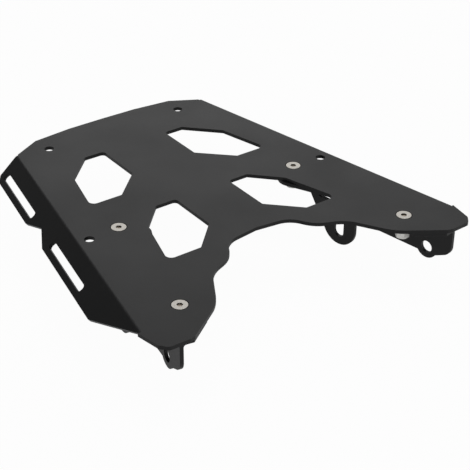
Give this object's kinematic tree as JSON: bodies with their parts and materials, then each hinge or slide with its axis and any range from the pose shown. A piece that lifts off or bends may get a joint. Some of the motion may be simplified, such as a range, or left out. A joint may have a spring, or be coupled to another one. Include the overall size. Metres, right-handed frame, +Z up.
{
  "type": "motorcycle luggage rack",
  "caption": "Flat folded-sheet rear luggage rack with lightening windows, strap slots in its side flanges and two bolted underside brackets with mounting ears.",
  "frame": {"origin": "on the deck's top face, midway between the two rear screws", "axes": "+Y to the rear of the motorcycle, +X to the right as seen from the seat looking rearwards, +Z up, square to the deck"},
  "size_m": [0.3082, 0.3147, 0.0644],
  "materials": {
    "plate_coat": "satin",
    "bracket_coat": "satin",
    "stainless": "satin"
  },
  "bodies": {
    "root": {"rack_plate": "plate_coat", "bracket_right": "bracket_coat", "bracket_left": "bracket_coat", "screw_front_right": "stainless", "washer_front_right": "stainless", "nut_front_right": "stainless", "screw_front_left": "stainless", "washer_front_left": "stainless", "nut_front_left": "stainless", "screw_rear_right": "stainless", "washer_rear_right": "stainless", "nut_rear_right": "stainless", "screw_rear_left": "stainless", "washer_rear_left": "stainless", "nut_rear_left": "stainless"}
  },
  "joints": []
}
